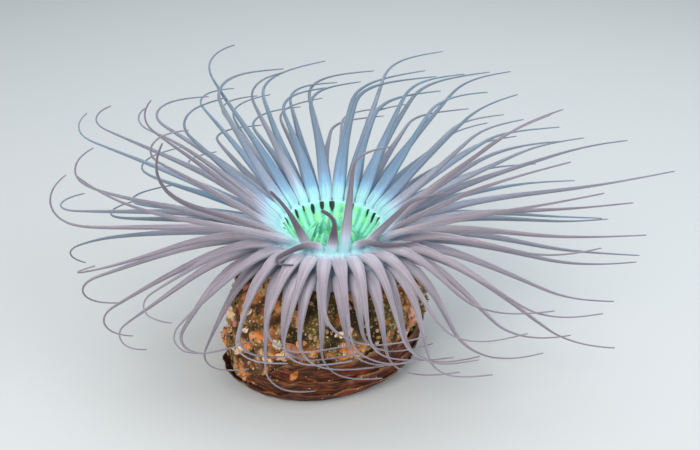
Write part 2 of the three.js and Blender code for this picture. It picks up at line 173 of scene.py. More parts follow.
tentacle = {"rootRadius": 2.85, "tipRadius": 0.36, "taperEnd": 0.82, "stand": 2}
route = {
    "steps": 40, "bendWeight": 2.6, "clearOfTube": 1.6, "clearOfFloor": 3,
    "dropReach": 0.34, "gust": 0.14, "landing": 16, "levelOff": 0.35,
}
settling = {
    "rounds": 24, "clearance": 1.3, "firstStep": 9, "bell": 5, "stiffTo": 0.16, "freeFrom": 0.4,
}
current = np.array((1, 0.22, 0))
up = np.array((0.0, 0.0, 1.0))


def scatter(n):
    value = math.sin(n * 12.9898) * 43758.5453
    return value - math.floor(value)


def smooth(start, end, x):
    t = min(1, max(0, (x - start) / (end - start)))
    return t * t * (3 - 2 * t)


def unit(v):
    return v / np.linalg.norm(v)


def around(bearing, radius, z):
    return np.array((radius * math.cos(bearing), radius * math.sin(bearing), z))


def tubeRadius(z, bearing):
    t = max(0, z) / tube["height"]
    rounding = max(0, (t - tube["shoulder"]) / (1 - tube["shoulder"])) ** 2
    tuck = tube["tuck"] * max(0, 1 - max(0, z) / tube["tuckHeight"]) ** 1.5
    uneven = 1 + 0.025 * math.sin(2 * bearing + 0.6) + 0.018 * math.sin(3 * bearing + 1.9)
    return (tube["bulge"] * (1 - rounding * (1 - tube["mouth"])) - tuck) * uneven


def tubeCentre(z):
    return tube["lean"] * (1 - min(1, max(0, z / tube["height"])))


def girth(s):
    taper = max(0, 1 - s / tentacle["taperEnd"]) ** 0.95
    return tentacle["tipRadius"] + (tentacle["rootRadius"] - tentacle["tipRadius"]) * taper


def marginNormal(arc):
    angle = math.radians(arc)
    return unit(np.array((math.sin(angle) / margin["width"], math.cos(angle) / margin["height"])))


def marginPoint(arc, stand=0):
    angle = math.radians(arc)
    normal = marginNormal(arc)
    radius = margin["lipRadius"] + margin["width"] * math.sin(angle) + normal[0] * stand
    height = margin["underside"] + margin["height"] * math.cos(angle) + normal[1] * stand
    return radius, height


def keepClear(point, s):
    if point[2] < tube["height"]:
        centre = tubeCentre(point[2])
        x = point[0] - centre
        bearing = math.atan2(point[1], x)
        need = tubeRadius(point[2], bearing) + girth(s) + route["clearOfTube"]
        push = max(1, need / math.hypot(x, point[1]))
        point[0] = centre + x * push
        point[1] *= push
    point[2] = max(point[2], girth(s) + route["clearOfFloor"])


def walk(root):
    steps = route["steps"]
    out = around(root["bearing"], 1, 0)
    side = around(root["bearing"] + math.pi / 2, 1, 0)
    level = out * math.cos(root["yaw"]) + side * math.sin(root["yaw"])
    direction = level * math.cos(root["lift"]) + up * math.sin(root["lift"])
    points = [around(root["bearing"], *marginPoint(root["arc"], tentacle["stand"]))]
    for k in range(steps):
        s = (k + 0.5) / steps
        drop = root["fall"] * math.exp(-((s / route["dropReach"]) ** 2))
        carried = root["wind"] * smooth(root["windFrom"], root["windFrom"] + route["gust"], s)
        rise = root["rise"] * smooth(0.4, 0.9, s)
        sway = root["sway"] * math.sin(s * 6)
        direction = unit(direction + (current * carried + up * (rise - drop) + side * sway) / steps)
        last = points[k]
        over = last[2] - girth(s) - route["clearOfFloor"]
        nearFloor = 1 - min(1, max(0, over / route["landing"]))
        if direction[2] < 0:
            direction[2] *= 1 - route["levelOff"] * nearFloor
            direction = unit(direction)
        following = last + direction * (root["length"] / steps)
        keepClear(following, s)
        direction = unit(following - last)
        points.append(following)
    return np.array(points)


def rootOf(cycle, index):
    n = cycle["seed"] + index

    def chance(k):
        return scatter(n * 1.7 + k * 31.1)

    bearing = 2 * math.pi * (index + 0.5) / cycle["count"]
    back = max(0, math.sin(bearing))
    front = max(0, -math.sin(bearing))
    right = max(0, math.cos(bearing))
    left = max(0, -math.cos(bearing))
    lift = cycle["lift"] + cycle["liftBack"] * back + cycle["liftFront"] * front
    shortened = (1 - cycle["shortFront"] * front ** 1.2) * (1 - cycle["shortBack"] * back ** 1.2)
    sided = (1 - 0.08 * right ** 2) * (1 - 0.09 * left ** 2)
    fall = cycle["fall"] * (1 - 0.6 * back) + cycle["fallFront"] * front ** 2
    wind = 3 + 5 * front + 9 * back + 9 * left ** 2
    return {
        "bearing": bearing,
        "arc": cycle["arc"],
        "lift": math.radians(lift + (chance(1) - 0.5) * 2 * cycle["spread"]),
        "yaw": 0,
        "length": cycle["length"] * (0.88 + 0.24 * chance(2)) * shortened * sided,
        "fall": fall * (0.9 + 0.2 * chance(3)),
        "wind": wind * (0.7 + 0.6 * chance(6)),
        "windFrom": 0.56 - 0.2 * front ** 2 + 0.1 * left + 0.22 * (chance(10) - 0.5),
        "rise": (chance(5) - 0.5) * 2 + front * 1.6 + left * 5 * (chance(7) - 0.4),
        "sway": (chance(4) - 0.5) * 1.2,
        "dark": 0.25 * chance(8),
        "tint": chance(9),
        "blunt": 0,
        "hanging": front ** 2,
        "slim": 1,
    }


def frontRoot(entry, cycle):
    turn, lift, yaw, length, fall, wind, windFrom, rise, dark, blunt = entry
    return {
        "bearing": math.radians(turn), "arc": cycle["arc"], "lift": math.radians(lift),
        "yaw": math.radians(yaw), "length": length, "fall": fall, "wind": wind, "windFrom": windFrom,
        "rise": rise, "sway": 0, "dark": dark, "tint": scatter(turn), "blunt": blunt,
        "hanging": frontShape["darkHanging"] if dark > frontShape["darkFrom"] else 0,
        "slim": frontShape["slim"],
    }


def rootsOf(cycle):
    roots = [rootOf(cycle, index) for index in range(cycle["count"])]
    if cycle["name"] != "inner":
        return roots
    first, last = math.radians(frontArc["from"]), math.radians(frontArc["to"])
    roots = [root for root in roots if not first < root["bearing"] < last]
    roots += [frontRoot(entry, cycle) for entry in frontTentacles]
    return sorted(roots, key=lambda root: root["bearing"])


# Moves tentacles that would touch gently apart. The roots stay where they are.
def settle(routes):
    steps = route["steps"]
    first = settling["firstStep"]
    girths = np.array([girth(k / steps) for k in range(first, steps + 1)])
    need = girths[:, None] + girths[None, :] + settling["clearance"]
    weights = np.array([
        smooth(settling["stiffTo"], settling["freeFrom"], k / steps) for k in range(steps + 1)])
    places = np.arange(steps + 1)
    for _ in range(settling["rounds"]):
        lows = np.array([points[first:].min(axis=0) - 3 for points in routes])
        highs = np.array([points[first:].max(axis=0) + 3 for points in routes])
        pushes = []
        for a in range(len(routes)):
            meets = (lows[a] <= highs[a + 1:]).all(axis=1) & (highs[a] >= lows[a + 1:]).all(axis=1)
            for b in np.nonzero(meets)[0] + a + 1:
                apart = routes[a][first:, None] - routes[b][None, first:]
                distance = np.sqrt((apart ** 2).sum(axis=2))
                lack = need - distance
                i, k = np.unravel_index(np.argmax(lack), lack.shape)
                if lack[i, k] > 0:
                    away = apart[i, k] * (0.5 * lack[i, k] / max(0.05, distance[i, k]))
                    pushes.append((a, i + first, away))
                    pushes.append((b, k + first, -away))
        for which, at, away in pushes:
            bell = np.exp(-(((places - at) / settling["bell"]) ** 2)) * weights
            routes[which] += bell[:, None] * away
        for points in routes:
            for k in range(first, steps + 1):
                keepClear(points[k], k / steps)


roots = [rootsOf(cycle) for cycle in cycles]
routes = [[walk(root) for root in group] for group in roots]
settle([points for group in routes for points in group])
print("tentacle routes grown:", sum(len(group) for group in routes))

# The skin of the animal, one piece from the foot of the column to the last whip.
skin = {
    "shrink": 0.925,  # how far one level of subdivision draws a ring of eight in
    "ringSpacing": 5.6,
    "fewestRings": 13,
    "mostRings": 23,
    "inset": 0.4,
    "rootFill": 0.93,  # share of its cell that a root takes up
    "ridge": 1.05,  # how far the ridges of the bowl's wall stand in
    "slitDepth": 2.2,
    "bandGap": 0.7,  # degrees of arc between a band's edge ring and the end of its arc
    "tipReach": 0.7,  # the last ring's distance and size, as shares of the tip's half width
    "tipSize": 0.55,
}
# How far the light of the bowl reaches, as (ring, share) on the wall and on the bands, and as
# (share at the root, share of the length where it ends) on outer, middle and inner tentacles.
glow = {
    "wall": ((-4, 0.96), (-3, 0.86), (-2, 0.74), (-1, 0.62)),
    "bands": ((0, 0.52), (2, 0.26), (3, 0.16), (5, 0.05)),
    "tentacles": ((0, 1), (0.24, 0.07), (0.5, 0.16)),
}
# what every vertex of the skin carries for its material
skinFloats = ("along", "oral", "dark", "tint", "bowl", "ridge", "slitShadow", "finger")
labial = {
    "count": 20, "ring": 13, "foot": 64.6, "height": 10.5, "rings": 6,
    "rootRadius": 1.15, "tipRadius": 0.35, "fill": 0.55,
}
# half width and half thickness of a tentacle, as shares of its root radius, along its length
blade = {
    "share": (0, 0.03, 0.08, 0.15, 0.25, 0.40, 0.60, 0.80, 1),
    "across": (1.08, 1.25, 1.34, 1.22, 0.92, 0.60, 0.34, 0.18, 0.127),
    "inward": (0.85, 0.72, 0.62, 0.6, 0.56, 0.48, 0.32, 0.18, 0.127),
    "frontTaper": 0.55,  # how much sooner a hanging tentacle at the front thins out
}
floorProfile = [(1.3, 61.6), (2.7, 62.3), (3.3, 64.6), (4.3, 66.7)]
floorProfile += [(5.8, 66.9), (7.1, 65.3), (7.9, 63.7), (9.6, 63.3)]
bedProfile = [(11.2, 63.9), (13, 64.5), (14.8, 64.4), (16.6, 65.2)]
ridgeHeights = (0.5, 0.9, 1.0, 1.0, 0.9, 0.5)  # shares of skin["ridge"] up the wall
wallProfile = [(18.4, 67.2), (20.2, 70.0), (21.5, 72.6), (22.3, 74.9), (22.9, 76.3), (23.8, 76.9)]
neckProfile = [(43.1, 63.6), (42.7, 62.3), (40.6, 61.9), (36.5, 61.8), (32.0, 61.4), (28.2, 60.6)]
neckProfile += [(24.6, 59.4), (21.6, 57.6), (19.4, 54.8), (18.0, 51.0)]
columnProfile = [(17.4, 46.0), (16.9, 30.0), (16.6, 14.0), (14.2, 9.2), (9.0, 7.3), (3.0, 6.7)]


def circleOf(bm, bearings, places):
    verts = bmesh.ops.create_circle(bm, segments=len(bearings), radius=1)["verts"]
    for k, (vert, bearing) in enumerate(zip(verts, bearings)):
        vert.co = around(bearing, *places(k))
    return verts


def levelRings(bm, bearings, profile):
    return [circleOf(bm, bearings, lambda k, place=place: place) for place in profile]


def loopEdges(verts):
    edges = []
    for k, vert in enumerate(verts):
        following = verts[(k + 1) % len(verts)]
        edges.append(next(edge for edge in vert.link_edges if edge.other_vert(vert) is following))
    return edges


# Joins each ring to the next one, and closes both ends if the shape is to be closed.
def joinRings(bm, rings, closed=True):
    for first, second in zip(rings, rings[1:]):
        bmesh.ops.bridge_loops(bm, edges=loopEdges(first) + loopEdges(second))
    if closed:
        for end in (rings[0], rings[-1]):
            bmesh.ops.edgeloop_fill(bm, edges=loopEdges(end))


def evenBearings(count):
    return [2 * math.pi * k / count for k in range(count)]


# Bearings of the edges and middles of a cycle's cells, by turns, starting at an edge.
def cellBearings(members):
    bearings = []
    for k, root in enumerate(members):
        before = members[k - 1]["bearing"] - (2 * math.pi if k == 0 else 0)
        bearings += [(before + root["bearing"]) / 2, root["bearing"]]
    return bearings


# Joins each four faces round a middle point into one cell with eight corners.
def openCells(bm, middleRing):
    count = len(middleRing)
    sides = [(middleRing[k - 1], middleRing[(k + 1) % count]) for k in range(1, count, 2)]
    bmesh.ops.dissolve_verts(bm, verts=[middleRing[k] for k in range(1, count, 2)])
    return [next(iter(set(a.link_faces) & set(b.link_faces))) for a, b in sides]


# Keeps the axis across a finger square to its direction, without a twist.
def carryAcross(across, along):
    return unit(across - along * across.dot(along))


def pickSteps(points, rings):
    steps = len(points) - 1
    reach = [0]
    for k in range(1, steps + 1):
        before = points[k] - points[k - 1]
        after = points[min(steps, k + 1)] - points[k]
        size = np.linalg.norm(before) * np.linalg.norm(after)
        bend = math.acos(min(1, before.dot(after) / size)) if size > 0 else 0
        reach.append(reach[k - 1] + 1 / steps + route["bendWeight"] * bend / math.pi)
    picked = [1]
    for ring in range(1, rings):
        goal = reach[1] + (reach[steps] - reach[1]) * ring / (rings - 1)
        step = next(k for k, value in enumerate(reach) if value >= goal - 1e-9)
        picked.append(max(step, picked[-1] + 1))
    return [step for step in picked if step <= steps]


def halfWidths(root, s):
    place = s * (1 + blade["frontTaper"] * root["hanging"])
    across = root["slim"] * np.interp(place, blade["share"], blade["across"])
    inward = np.interp(place, blade["share"], blade["inward"])
    return tuple(max(root["blunt"], tentacle["rootRadius"] * share) for share in (across, inward))


# One finger's rings: centre, direction, half width and thickness, and share of the length.
def tentacleSpans(root, points):
    rings = int(min(skin["mostRings"], max(skin["fewestRings"], root["length"] / skin["ringSpacing"])))
    normal = marginNormal(root["arc"])
    rise = around(root["bearing"], normal[0], normal[1])
    lead = unit(points[1] - points[0])
    spans = [(points[0], unit(rise + lead), halfWidths(root, 0.01), 0.01)]
    steps = len(points) - 1
    for step in pickSteps(points, rings):
        along = unit(points[min(steps, step + 1)] - points[step - 1])
        spans.append((points[step], along, halfWidths(root, step / steps), step / steps))
    last, along, (wide, deep), _ = spans[-1]
    tip = (wide * skin["tipSize"], deep * skin["tipSize"])
    spans.append((last + along * wide * skin["tipReach"], along, tip, 1))
    return spans


def labialBearing(index):
    return (index + 0.5) * 2 * math.pi / labial["count"]


def labialSpans(index):
    bearing = labialBearing(index)
    height = labial["height"] * (0.8 + 0.4 * scatter(index + 5))
    inward = 3 + 3 * scatter(index + 47)
    spans = []
    for k in range(1, labial["rings"] + 1):
        t = k / labial["rings"]
        centre = around(bearing, labial["ring"] - inward * t * t, labial["foot"] + height * t)
        along = unit(around(bearing, -2 * inward * t, height))
        radius = labial["rootRadius"] + (labial["tipRadius"] - labial["rootRadius"]) * t ** 1.5
        spans.append((centre, along, (radius, radius), t))
    return spans


# Shapes the inset cell into a root, keeps each corner's angle about the finger in the corner layer, and
# returns the axis across it.
def shapeRoot(face, bearing, normal, fill, layers):
    centre = np.array(face.calc_center_median())
    across = around(bearing + math.pi / 2, 1, 0)
    inward = np.cross(normal, across)
    corners = [np.array(vert.co) - centre for vert in face.verts]
    halfAcross = max(abs(corner.dot(across)) for corner in corners)
    halfAlong = max(abs(corner.dot(inward)) for corner in corners)
    for vert, corner in zip(face.verts, corners):
        angle = math.atan2(corner.dot(inward) / halfAlong, corner.dot(across) / halfAcross)
        eighth = round(angle / (math.pi / 4)) % 8
        angle = eighth * math.pi / 4
        spot = centre + across * (math.cos(angle) * halfAcross * fill)
        vert.co = spot + inward * (math.sin(angle) * halfAlong * fill)
        vert[layers["corner"]] = eighth
        vert[layers["oral"]] = 0.5 + 0.5 * math.sin(angle)
    return across


# Draws every finger out of its cell, all of them together, one ring at a time.
def growFingers(bm, cells, fingers, layers):
    for k, face in enumerate(cells):
        face[layers["cell"]] = k
    tips = list(cells)
    ring = 0
    while tips:
        tips = bmesh.ops.extrude_discrete_faces(bm, faces=tips)["faces"]
        going = []
        for face in tips:
            finger = fingers[face[layers["cell"]]]
            centre, along, (wide, deep), s = finger["spans"][ring]
            finger["across"] = carryAcross(finger["across"], along)
            inward = np.cross(along, finger["across"])
            for vert in face.verts:
                angle = vert[layers["corner"]] * math.pi / 4
                spot = centre + finger["across"] * (math.cos(angle) * wide / skin["shrink"])
                vert.co = spot + inward * (math.sin(angle) * deep / skin["shrink"])
                vert[layers["along"]] = s
                vert[layers["oral"]] = 0.5 + 0.5 * math.sin(angle)
                vert[layers["dark"]] = finger["dark"]
                vert[layers["tint"]] = finger["tint"]
                vert[layers["bowl"]] = finger["bowl"](s)
                vert[layers["finger"]] = 1
                vert[layers["ridge"]] = s
            if ring + 1 < len(finger["spans"]):
                going.append(face)
        tips = going
        ring += 1


def finishMesh(bm, name, material):
    bmesh.ops.recalc_face_normals(bm, faces=bm.faces)
    bmesh.ops.scale(bm, vec=(toMetres, toMetres, toMetres), verts=bm.verts)
    mesh = bpy.data.meshes.new(name)
    bm.to_mesh(mesh)
    bm.free()
    for polygon in mesh.polygons:
        polygon.use_smooth = True
    mesh.materials.append(material)
    piece = bpy.data.objects.new(name, mesh)
    bpy.context.scene.collection.objects.link(piece)
    return piece


def subdivide(piece):
    modifier = piece.modifiers.new("subdivision", "SUBSURF")
    modifier.levels = 1
    modifier.render_levels = 1


# A colour is written as red, green and blue from 0 to 255; the shaders take it as linear light.
def tone(colour):
    linear = [((c / 255 + 0.055) / 1.055) ** 2.4 if c > 10 else c / 255 / 12.92 for c in colour]
    return (*linear, 1)


# Gives a socket another socket's output, a colour or a number.
def plug(tree, socket, value):
    if isinstance(value, bpy.types.NodeSocket):
        tree.links.new(value, socket)
    else:
        socket.default_value = tone(value) if isinstance(value, tuple) else value


def mixed(tree, share, first, second):
    node = tree.nodes.new("ShaderNodeMix")
    node.data_type = "RGBA"
    plug(tree, node.inputs[0], share)
    plug(tree, node.inputs[6], first)
    plug(tree, node.inputs[7], second)
    return node.outputs[2]


def maths(tree, operation, first, second):
    node = tree.nodes.new("ShaderNodeMath")
    node.operation = operation
    plug(tree, node.inputs[0], first)
    plug(tree, node.inputs[1], second)
    return node.outputs[0]


def times(tree, first, second):
    return maths(tree, "MULTIPLY", first, second)


def plus(tree, first, second):
    return maths(tree, "ADD", first, second)


def stretched(tree, value, fromMin, fromMax, toMin=0.0, toMax=1.0):
    node = tree.nodes.new("ShaderNodeMapRange")
    node.interpolation_type = "SMOOTHSTEP"
    plug(tree, node.inputs["Value"], value)
    for name, number in zip(("From Min", "From Max", "To Min", "To Max"), (fromMin, fromMax, toMin, toMax)):
        plug(tree, node.inputs[name], number)
    return node.outputs[0]


def ramped(tree, value, stops):
    node = tree.nodes.new("ShaderNodeValToRGB")
    elements = node.color_ramp.elements
    while len(elements) < len(stops):
        elements.new(0.5)
    for element, (place, colour) in zip(elements, stops):
        element.position = place
        element.color = tone(colour)
    plug(tree, node.inputs[0], value)
    return node.outputs[0]


def noised(tree, vector, scale, detail=3.0, roughness=0.55, distortion=0.0):
    node = tree.nodes.new("ShaderNodeTexNoise")
    plug(tree, node.inputs["Vector"], vector)
    settings = {"Scale": scale, "Detail": detail, "Roughness": roughness, "Distortion": distortion}
    for name, number in settings.items():
        plug(tree, node.inputs[name], number)
    return node.outputs["Fac"]


def attributeOf(tree, name):
    node = tree.nodes.new("ShaderNodeAttribute")
    node.attribute_name = name
    return node.outputs["Fac"]


def splitPlace(tree, place):
    node = tree.nodes.new("ShaderNodeSeparateXYZ")
    plug(tree, node.inputs[0], place)
    return node.outputs[:]


def stretchedPlace(tree, vector, factors):
    node = tree.nodes.new("ShaderNodeMapping")
    node.inputs["Scale"].default_value = factors
    plug(tree, node.inputs["Vector"], vector)
    return node.outputs[0]


# Plugs colour and relief into a shader, and sets how rough it is.
def dress(tree, shader, colour, roughness, height, strength, distance):
    bump = tree.nodes.new("ShaderNodeBump")
    bump.inputs["Strength"].default_value = strength
    bump.inputs["Distance"].default_value = distance
    plug(tree, bump.inputs["Height"], height)
    plug(tree, shader.inputs["Normal"], bump.outputs[0])
    plug(tree, shader.inputs["Base Color"], colour)
    shader.inputs["Roughness"].default_value = roughness


def newMaterial(name):
    material = bpy.data.materials.new(name)
    material.use_nodes = True
    tree = material.node_tree
    place = tree.nodes.new("ShaderNodeTexCoord").outputs["Object"]
    return material, tree, tree.nodes["Principled BSDF"], place


# Sand and silt caught in a rough surface: specks of several colours, and where they lie.
def gritGroup():
    group = bpy.data.node_groups.new("grit", "ShaderNodeTree")
    sockets = [
        ("Vector", "INPUT", "Vector"), ("Size", "INPUT", "Float"), ("Amount", "INPUT", "Float"),
        ("Colour", "OUTPUT", "Color"), ("Mask", "OUTPUT", "Float"),
    ]
    for label, way, kind in sockets:
        group.interface.new_socket(name=label, in_out=way, socket_type="NodeSocket" + kind)
    entering = group.nodes.new("NodeGroupInput").outputs
    leaving = group.nodes.new("NodeGroupOutput").inputs
    cells = group.nodes.new("ShaderNodeTexVoronoi")
    plug(group, cells.inputs["Vector"], entering["Vector"])
    plug(group, cells.inputs["Scale"], entering["Size"])
    split = group.nodes.new("ShaderNodeSeparateColor")
    plug(group, split.inputs[0], cells.outputs["Color"])
    chosen = maths(group, "LESS_THAN", split.outputs[0], entering["Amount"])
    grain = stretched(group, cells.outputs["Distance"], 0.45, 0.25)
    plug(group, leaving["Mask"], times(group, chosen, grain))
    plug(group, leaving["Colour"], ramped(group, split.outputs[1], [
        (0.0, (226, 204, 168)), (0.25, (188, 148, 98)), (0.45, (240, 230, 210)),
        (0.62, (172, 104, 64)), (0.8, (206, 178, 120)), (1.0, (120, 92, 66)),
    ]))
    return group


grit = gritGroup()


# Strews grit over a colour, and gives the new colour and the mask of the specks.
def strewn(tree, place, size, amount, colour, share):
    node = tree.nodes.new("ShaderNodeGroup")
    node.node_tree = grit
    for label, value in (("Vector", place), ("Size", size), ("Amount", amount)):
        plug(tree, node.inputs[label], value)
    mask = node.outputs["Mask"]
    return mixed(tree, times(tree, mask, share), colour, node.outputs["Colour"]), mask


# Soft flesh: green in the bowl with a painted glow, pale at the roots, mauve in front, painted blue shade
# towards the back and painted shadow in the slits.
def fleshMaterial():
    material, tree, shader, place = newMaterial("anemone_flesh")
    y, z = splitPlace(tree, place)[1:]
    along, oral, dark, tint, bowl, ridge, slitShadow, finger = (attributeOf(tree, name) for name in skinFloats)
    streakPlace = tree.nodes.new("ShaderNodeCombineXYZ")
    for socket, value, factor in zip(streakPlace.inputs, (oral, along, tint), (4.6, 2.2, 40.0)):
        plug(tree, socket, times(tree, value, factor))
    outward = tree.nodes.new("ShaderNodeVectorMath")
    outward.operation = "NORMALIZE"
    plug(tree, outward.inputs[0], stretchedPlace(tree, place, (1, 1, 0)))
    rays = noised(tree, outward.outputs[0], 16.0, 3.0, 0.6)
    lines = noised(tree, streakPlace.outputs[0], 2.2, 3.0, 0.6)
    streaks = stretched(tree, mixed(tree, finger, rays, lines), 0.3, 0.7)
    mottle = noised(tree, place, 140.0, 4.0, 0.6)

    mauve = mixed(tree, streaks, (112, 102, 112), (170, 162, 168))
    lengthwise = ramped(tree, along, [
        (0.0, (190, 198, 216)), (0.05, (178, 176, 190)), (0.18, (156, 146, 156)),
        (0.5, (124, 118, 128)), (1.0, (106, 106, 116)),
    ])
    fleshTone = mixed(tree, 0.5, lengthwise, mauve)
    flank = stretched(tree, oral, 0.62, 0.1)
    flankShare = times(tree, flank, stretched(tree, along, 0.6, 0.05, 0.1, 0.65))
    fleshTone = mixed(tree, flankShare, fleshTone, (180, 186, 202))
    # painted blue shade: the flesh turns blue towards the back, more on some tentacles than on others
    backShadeShare = stretched(tree, y, -0.025, 0.035, 0.0, 0.8)
    backShadeShare = times(tree, backShadeShare, stretched(tree, tint, 0.25, 0.45, 0.45, 1.0))
    blueShade = mixed(tree, stretched(tree, along, 0.0, 0.55), (82, 140, 178), (84, 122, 138))
    blueShade = mixed(tree, times(tree, streaks, 0.55), blueShade, (118, 146, 170))
    fleshTone = mixed(tree, backShadeShare, fleshTone, blueShade)
    darkShare = times(tree, dark, stretched(tree, along, 0.04, 0.4))
    fleshTone = mixed(tree, darkShare, fleshTone, (78, 70, 82))
    fleshTone = mixed(tree, times(tree, tint, 0.22), fleshTone, (104, 96, 114))

    valley = mixed(tree, streaks, (132, 158, 176), (192, 204, 216))
    bodyTone = mixed(tree, finger, valley, fleshTone)
    underside = stretched(tree, z, 0.0665, 0.0615)
    onBody = maths(tree, "SUBTRACT", 1.0, finger)
    belowRim = times(tree, underside, onBody)
    bodyTone = mixed(tree, belowRim, bodyTone, mixed(tree, mottle, (148, 124, 130), (196, 178, 186)))

    ridgeShare = stretched(tree, plus(tree, ridge, times(tree, mottle, 0.3)), 0.25, 1.0)
    greenTone = mixed(tree, ridgeShare, (84, 172, 140), (136, 216, 190))
    radial = noised(tree, place, 260.0, 2.0, 0.5)
    greenTone = mixed(tree, stretched(tree, radial, 0.5, 0.68, 0.0, 0.65), greenTone, (134, 224, 122))
    greenTone = mixed(tree, stretched(tree, radial, 0.45, 0.3, 0.0, 0.6), greenTone, (122, 206, 196))
    mint = ramped(tree, bowl, [
        (0.5, (154, 204, 206)), (0.75, (136, 210, 194)), (1.0, (128, 214, 180)),
    ])
    # pale in front and painted blue shade at the back
    pale = mixed(tree, backShadeShare, (178, 188, 206), (96, 158, 192))
    mint = mixed(tree, stretched(tree, bowl, 0.15, 0.52), pale, mint)
    greenTone = mixed(tree, stretched(tree, bowl, 0.55, 0.98), mint, greenTone)
    reach = times(tree, bowl, stretched(tree, streaks, 0.0, 1.0, 0.45, 1.35))
    colour = mixed(tree, stretched(tree, reach, 0.0, 0.34), bodyTone, greenTone)
    # painted shadow in the slits of the bowl's wall, nearly black
    ragged = plus(tree, slitShadow, times(tree, maths(tree, "SUBTRACT", mottle, 0.5), 0.5))
    slitShadowShare = stretched(tree, ragged, 0.38, 0.54)
    colour = mixed(tree, slitShadowShare, colour, (14, 26, 24))

    # painted glow: the green of the bowl also shines as emission, except in the slits
    light = mixed(tree, slitShadowShare, greenTone, (0, 0, 0))
    light = mixed(tree, stretched(tree, bowl, 0.2, 1.0), (0, 0, 0), light)
    plug(tree, shader.inputs["Emission Color"], light)
    shader.inputs["Emission Strength"].default_value = 0.1
    shader.inputs["Specular IOR Level"].default_value = 0.35
    shader.inputs["Subsurface Weight"].default_value = 0.35
    shader.inputs["Subsurface Radius"].default_value = (1.0, 0.75, 0.9)
    shader.inputs["Subsurface Scale"].default_value = 0.0022
    shader.inputs["Sheen Weight"].default_value = 0.45
    shader.inputs["Sheen Roughness"].default_value = 0.35
    ripple = noised(tree, stretchedPlace(tree, place, (1, 1, 1.6)), 420.0, 3.0, 0.6)
    height = plus(tree, times(tree, streaks, 1.4), ripple)
    dress(tree, shader, colour, 0.5, height, 0.35, 0.0006)
    return material


# How open a slit of the bowl's wall is at one level: each starts and ends at its own height.
def slitOpen(level, k):
    size = 0.35 + 0.65 * scatter(k * 3.1 + 8)
    high = scatter(k * 1.7 + 3)
    return size * (0, 0.5 * (1 - high), 1 - 0.4 * high, 1, 0.7 + 0.3 * high, 0.3 + 0.6 * high)[level]


def buildSkin():
    bm = bmesh.new()
    layers = {name: bm.verts.layers.float.new(name) for name in skinFloats}
    layers["corner"] = bm.verts.layers.int.new("corner")
    layers["cell"] = bm.faces.layers.int.new("cell")

    # the mouth, the lips and the floor of the bowl
    forty = evenBearings(2 * labial["count"])
    floorRings = levelRings(bm, forty, floorProfile)
    bedRings = levelRings(bm, forty, bedProfile)

    # the wall of the bowl, with a ridge below each inner tentacle and slits between them
    innerBearings = cellBearings(roots[2])
    wallRings = []
    for level, (r, z) in enumerate(wallProfile):
        ridge = skin["ridge"] * ridgeHeights[level]

        def wallPlace(k, r=r, z=z, ridge=ridge, level=level):
            if k % 2:
                return r - ridge, z
            return r + ridge + skin["slitDepth"] * slitOpen(level, k), z
        ring = circleOf(bm, innerBearings, wallPlace)
        # each slit's depth is also the share of painted shadow it gets
        for k, vert in enumerate(ring):
            vert[layers["slitShadow"]] = slitOpen(level, k) if k % 2 == 0 else 0
            vert[layers["ridge"]] = k % 2
        wallRings.append(ring)

    # the three bands of the margin that carry the tentacles
    middleRings = []
    bandRings = []
    for cycle, members in reversed(list(zip(cycles, roots))):
        arcs = (cycle["arcFrom"] + skin["bandGap"], cycle["arc"], cycle["arcTo"] - skin["bandGap"])
        band = levelRings(bm, cellBearings(members), [marginPoint(arc) for arc in arcs])
        middleRings.append(band[1])
        bandRings += band

    # the brim, the neck and the column, down to its closed foot
    neckRings = levelRings(bm, cellBearings(roots[0]), neckProfile)
    columnRings = levelRings(bm, forty, columnProfile)
    joinRings(bm, floorRings + bedRings + wallRings + bandRings + neckRings + columnRings)

    for ring in floorRings + bedRings + wallRings:
        for vert in ring:
            vert[layers["bowl"]] = 1
    for found, shares in ((wallRings, glow["wall"]), (bandRings, glow["bands"])):
        for level, share in shares:
            for vert in found[level]:
                vert[layers["bowl"]] = share

    # cells and what grows out of them
    cells = openCells(bm, bedRings[1])
    cellsOf = [openCells(bm, ring) for ring in middleRings]
    fingers = []
    for index in range(labial["count"]):
        fingers.append({
            "bearing": labialBearing(index), "normal": up, "fill": labial["fill"],
            "spans": labialSpans(index), "dark": 0, "tint": scatter(index), "bowl": lambda s: 1,
        })
    for cycleIndex, found in zip((2, 1, 0), cellsOf):
        cells += found
        for root, points in zip(roots[cycleIndex], routes[cycleIndex]):
            normal = marginNormal(root["arc"])
            share, fade = glow["tentacles"][cycleIndex]
            fingers.append({
                "bearing": root["bearing"], "normal": around(root["bearing"], normal[0], normal[1]),
                "fill": skin["rootFill"], "spans": tentacleSpans(root, points),
                "dark": root["dark"], "tint": root["tint"],
                "bowl": lambda s, share=share, fade=fade: share * max(0, 1 - s / fade) ** 1.5,
            })
    bmesh.ops.inset_individual(bm, faces=cells, thickness=skin["inset"], use_even_offset=True)
    for face, finger in zip(cells, fingers):
        finger["across"] = shapeRoot(face, finger["bearing"], finger["normal"], finger["fill"], layers)
        for vert in face.verts:
            vert[layers["bowl"]] = finger["bowl"](0)
            vert[layers["dark"]] = finger["dark"]
            vert[layers["tint"]] = finger["tint"]
    growFingers(bm, cells, fingers, layers)
    piece = finishMesh(bm, "anemone_skin", fleshMaterial())
    subdivide(piece)
    return piece


skinPiece = buildSkin()
flesh = [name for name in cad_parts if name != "tube"]
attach(skinPiece, "root")
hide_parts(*flesh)
print("skin built:", len(skinPiece.data.polygons), "faces before subdivision")

